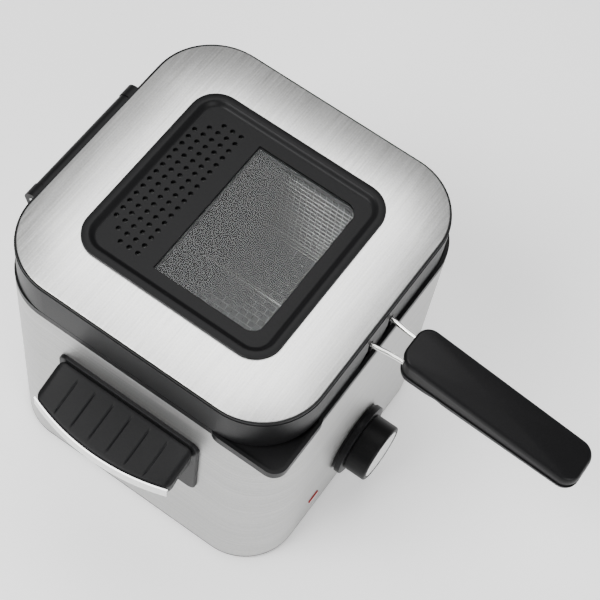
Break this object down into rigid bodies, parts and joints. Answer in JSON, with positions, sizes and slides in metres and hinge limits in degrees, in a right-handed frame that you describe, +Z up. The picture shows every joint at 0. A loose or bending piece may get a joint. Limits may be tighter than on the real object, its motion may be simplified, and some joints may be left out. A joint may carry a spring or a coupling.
{
  "type": "deep fryer",
  "caption": "Compact square deep fryer: steel wrap, hinged lid with a window and vents, front dial, side carry handles and a lift-out wire basket with a long grip.",
  "frame": {"origin": "middle of the footprint, on the table that the standing rim and pads rest on", "axes": "+Z up, -Y the front with the dial and the basket grip, +X the right side"},
  "size_m": [0.276, 0.3549, 0.2102],
  "materials": {
    "brushed_steel": "brushed wrap and lid plate",
    "black_plastic": "satin black heat-resistant moulding",
    "grip_plastic": "satin black grip moulding",
    "polished_metal": "polished bright trim",
    "pad_rubber": "matt rubber",
    "pot_coating": "dark non-stick coating",
    "pot_aluminium": "drawn aluminium",
    "inner_steel": "plain steel sheet and tube",
    "screw_steel": "zinc-plated screws",
    "basket_wire": "bright plated wire",
    "window_glass": "clear toughened glass",
    "copper": "copper tube",
    "ceramic": "pale insulating mouldings and sleeves",
    "red_lens": "clear red lens",
    "lamp_glass": "small neon lamp"
  },
  "bodies": {
    "housing": {"outer_shell": "brushed_steel", "base_pan": "black_plastic", "base_pads": "pad_rubber", "base_screws": "screw_steel", "top_collar": "black_plastic", "inner_pot": "pot_coating", "heat_spreader": "pot_aluminium", "heating_element": "inner_steel", "heat_shield": "inner_steel", "thermostat_body": "ceramic", "thermostat_capillary": "copper", "thermal_fuse": "ceramic", "terminal_block": "ceramic", "wiring": "ceramic", "cord_inlet": "black_plastic", "knob_flange": "black_plastic", "indicator_lens": "red_lens", "indicator_lamp": "lamp_glass", "left_handle": "black_plastic", "right_handle": "black_plastic", "left_handle_trim": "polished_metal", "right_handle_trim": "polished_metal", "handle_screws": "screw_steel", "hinge_bracket": "black_plastic", "hinge_pin": "inner_steel", "hinge_screws": "screw_steel"},
    "dial": {"knob": "black_plastic", "knob_cap": "polished_metal", "thermostat_shaft": "inner_steel"},
    "lid": {"lid_plate": "brushed_steel", "lid_frame": "black_plastic", "lid_bezel": "black_plastic", "window_glass": "window_glass", "window_gasket": "pad_rubber", "filter_mesh": "inner_steel", "filter_cover": "pot_aluminium", "lid_liner": "pot_aluminium", "lid_screws": "screw_steel"},
    "basket": {"basket_mesh": "basket_wire", "basket_rim": "basket_wire", "basket_feet": "basket_wire", "basket_bracket": "basket_wire", "drain_hook": "basket_wire", "handle_wires": "basket_wire", "grip_top": "grip_plastic", "grip_core": "grip_plastic", "grip_bottom": "grip_plastic", "grip_screws": "screw_steel"}
  },
  "joints": [
    {"name": "lid_hinge", "type": "hinge", "parent": "housing", "child": "lid", "pos_m": [0, 0.1111, 0.1842], "axis": [-1, 0, 0], "range_deg": [0, 88]},
    {"name": "dial_turn", "type": "hinge", "parent": "housing", "child": "dial", "pos_m": [0, -0.1025, 0.048], "axis": [0, -1, 0], "range_deg": [0, 270]},
    {"name": "basket_lift", "type": "slide", "parent": "housing", "child": "basket", "axis": [0, 0, 1], "range_m": [0, 0.062]}
  ],
  "couplings": [
    {"joint": "basket_lift", "follows": "lid_hinge", "m_per_rad": 0.039}
  ]
}
